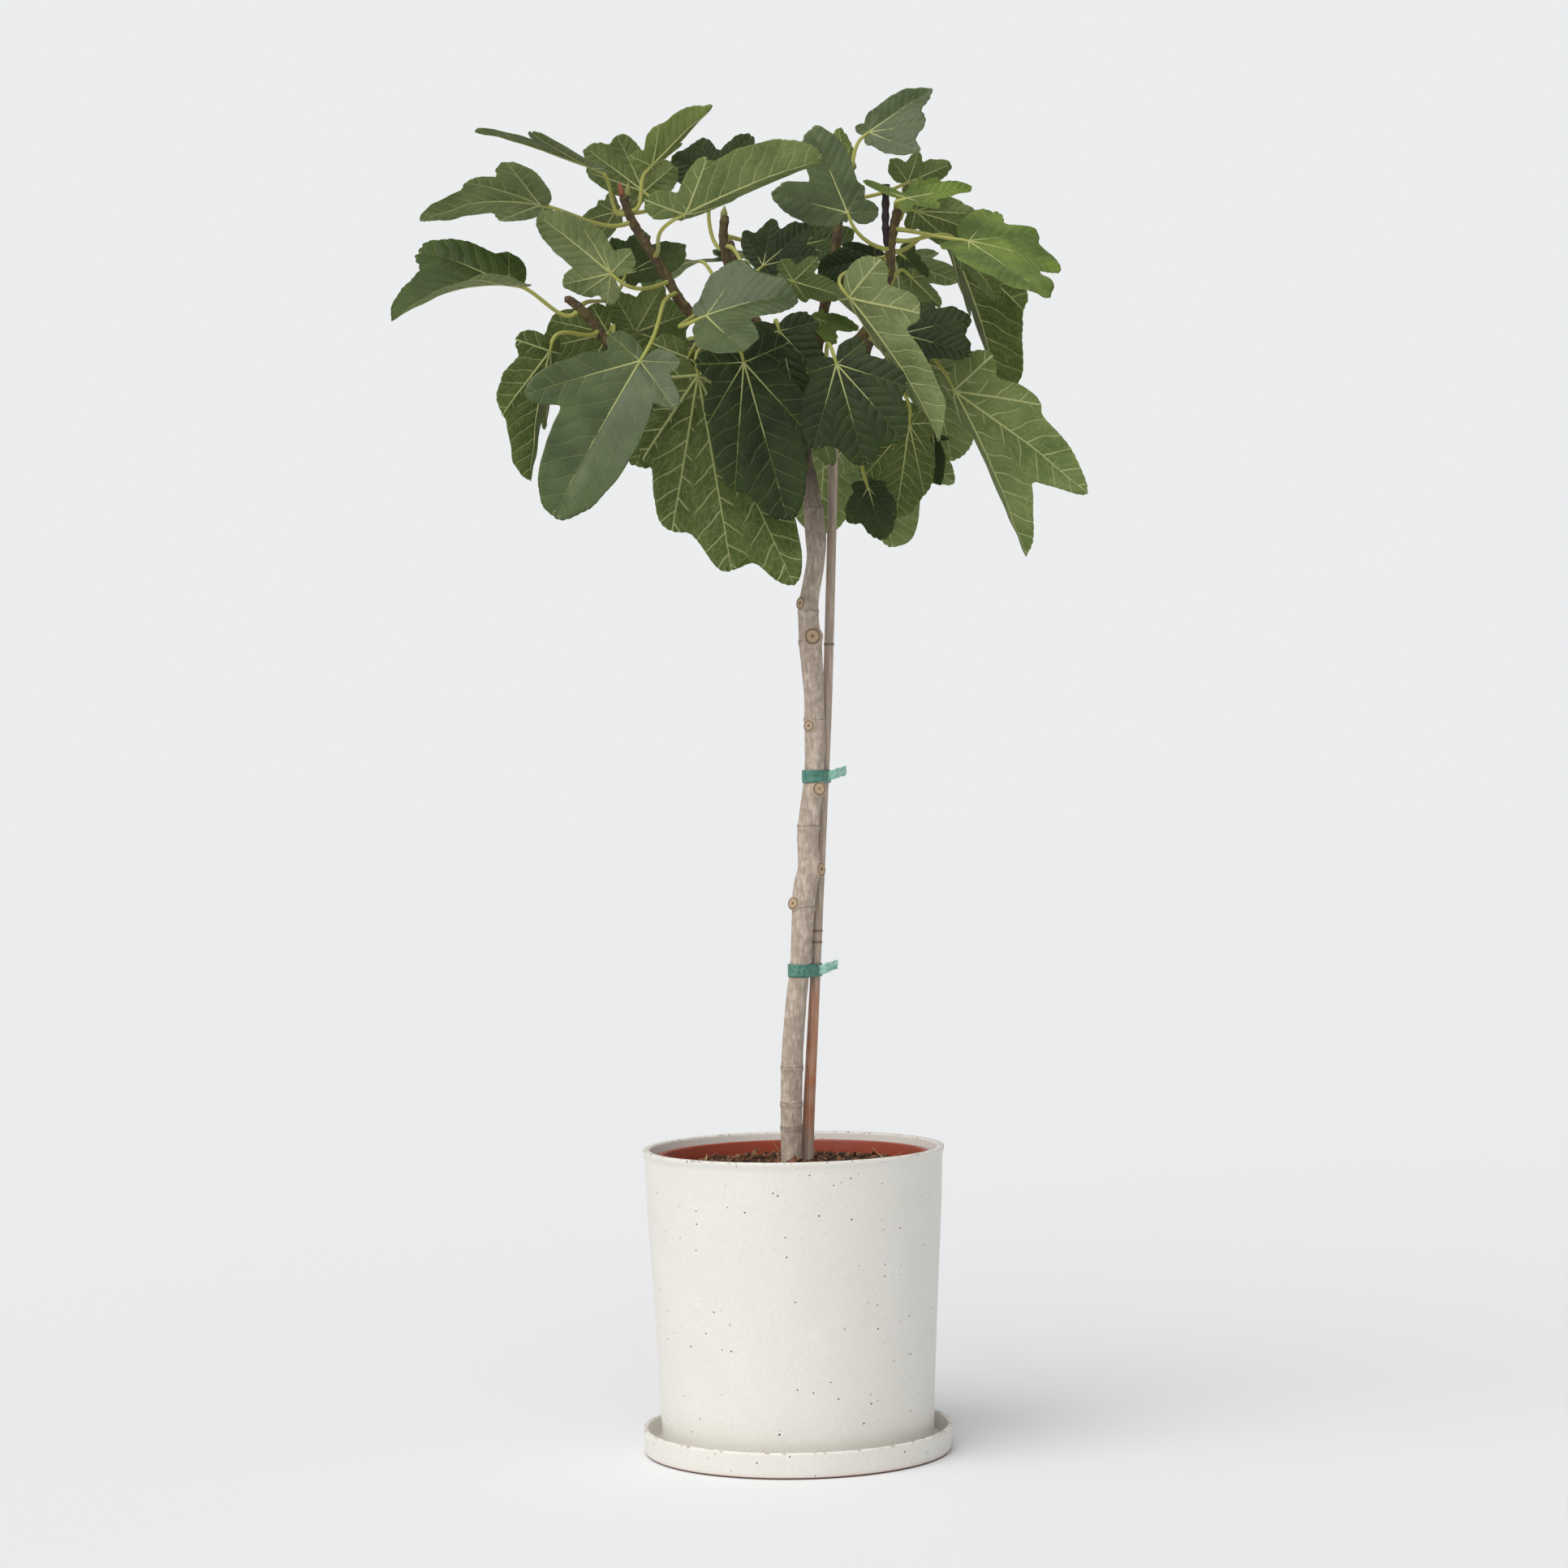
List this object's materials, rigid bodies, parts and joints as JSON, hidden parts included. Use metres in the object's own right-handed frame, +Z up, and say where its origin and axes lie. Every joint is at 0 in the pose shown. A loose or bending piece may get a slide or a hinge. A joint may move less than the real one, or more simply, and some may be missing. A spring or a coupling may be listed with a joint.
{
  "type": "potted fig tree",
  "caption": "Young fig tree staked to a cane in a nursery pot, standing in a round glazed planter on a drip saucer; rests on the floor.",
  "frame": {"origin": "centre of the saucer's flat underside, where it rests", "axes": "+Z up along the tree, +X to the right seen from the front, +Y away from the front"},
  "size_m": [0.676, 0.5399, 1.3809],
  "materials": {
    "saucer_glaze": "satin glaze",
    "planter_glaze": "satin glaze, speckled",
    "nursery_plastic": "semi-gloss",
    "peat_soil": "rough",
    "fig_bark": "bark",
    "bamboo": "smooth, dry",
    "tie_tape": "clear green film",
    "fig_leaf": "satin"
  },
  "bodies": {
    "root": {"cane": "bamboo", "leaf_centre_grey": "fig_leaf", "leaf_centre_pale": "fig_leaf", "leaf_far_left": "fig_leaf", "leaf_far_right": "fig_leaf", "leaf_far_right_lobe": "fig_leaf", "leaf_inner_bright": "fig_leaf", "leaf_inner_dark": "fig_leaf", "leaf_inner_hanging": "fig_leaf", "leaf_inner_left": "fig_leaf", "leaf_inner_right": "fig_leaf", "leaf_left_behind": "fig_leaf", "leaf_left_brown": "fig_leaf", "leaf_left_edge_on": "fig_leaf", "leaf_left_hanging": "fig_leaf", "leaf_left_high": "fig_leaf", "leaf_left_pale": "fig_leaf", "leaf_left_small": "fig_leaf", "leaf_left_top": "fig_leaf", "leaf_left_top_back": "fig_leaf", "leaf_low_back": "fig_leaf", "leaf_low_centre": "fig_leaf", "leaf_low_dark": "fig_leaf", "leaf_low_front": "fig_leaf", "leaf_low_left": "fig_leaf", "leaf_low_right": "fig_leaf", "leaf_low_right_back": "fig_leaf", "leaf_low_right_curled": "fig_leaf", "leaf_low_right_dark": "fig_leaf", "leaf_low_right_small": "fig_leaf", "leaf_low_right_under": "fig_leaf", "leaf_rear_high_left": "fig_leaf", "leaf_rear_high_right": "fig_leaf", "leaf_rear_low": "fig_leaf", "leaf_rear_low_left": "fig_leaf", "leaf_rear_low_right": "fig_leaf", "leaf_rear_mid_left": "fig_leaf", "leaf_rear_mid_right": "fig_leaf", "leaf_rear_top": "fig_leaf", "leaf_right_edge_on": "fig_leaf", "leaf_right_grey": "fig_leaf", "leaf_right_hanging": "fig_leaf", "leaf_right_inner": "fig_leaf", "leaf_right_pale": "fig_leaf", "leaf_right_pale_high": "fig_leaf", "leaf_right_small": "fig_leaf", "leaf_right_thin": "fig_leaf", "leaf_right_under": "fig_leaf", "leaf_top_dark": "fig_leaf", "leaf_top_right_back": "fig_leaf", "leaf_top_right_front": "fig_leaf", "leaf_top_right_tip": "fig_leaf", "leaf_top_young": "fig_leaf", "nursery_pot": "nursery_plastic", "planter": "planter_glaze", "saucer": "saucer_glaze", "soil": "peat_soil", "tie_lower": "tie_tape", "tie_upper": "tie_tape", "trunk": "fig_bark"}
  },
  "joints": []
}
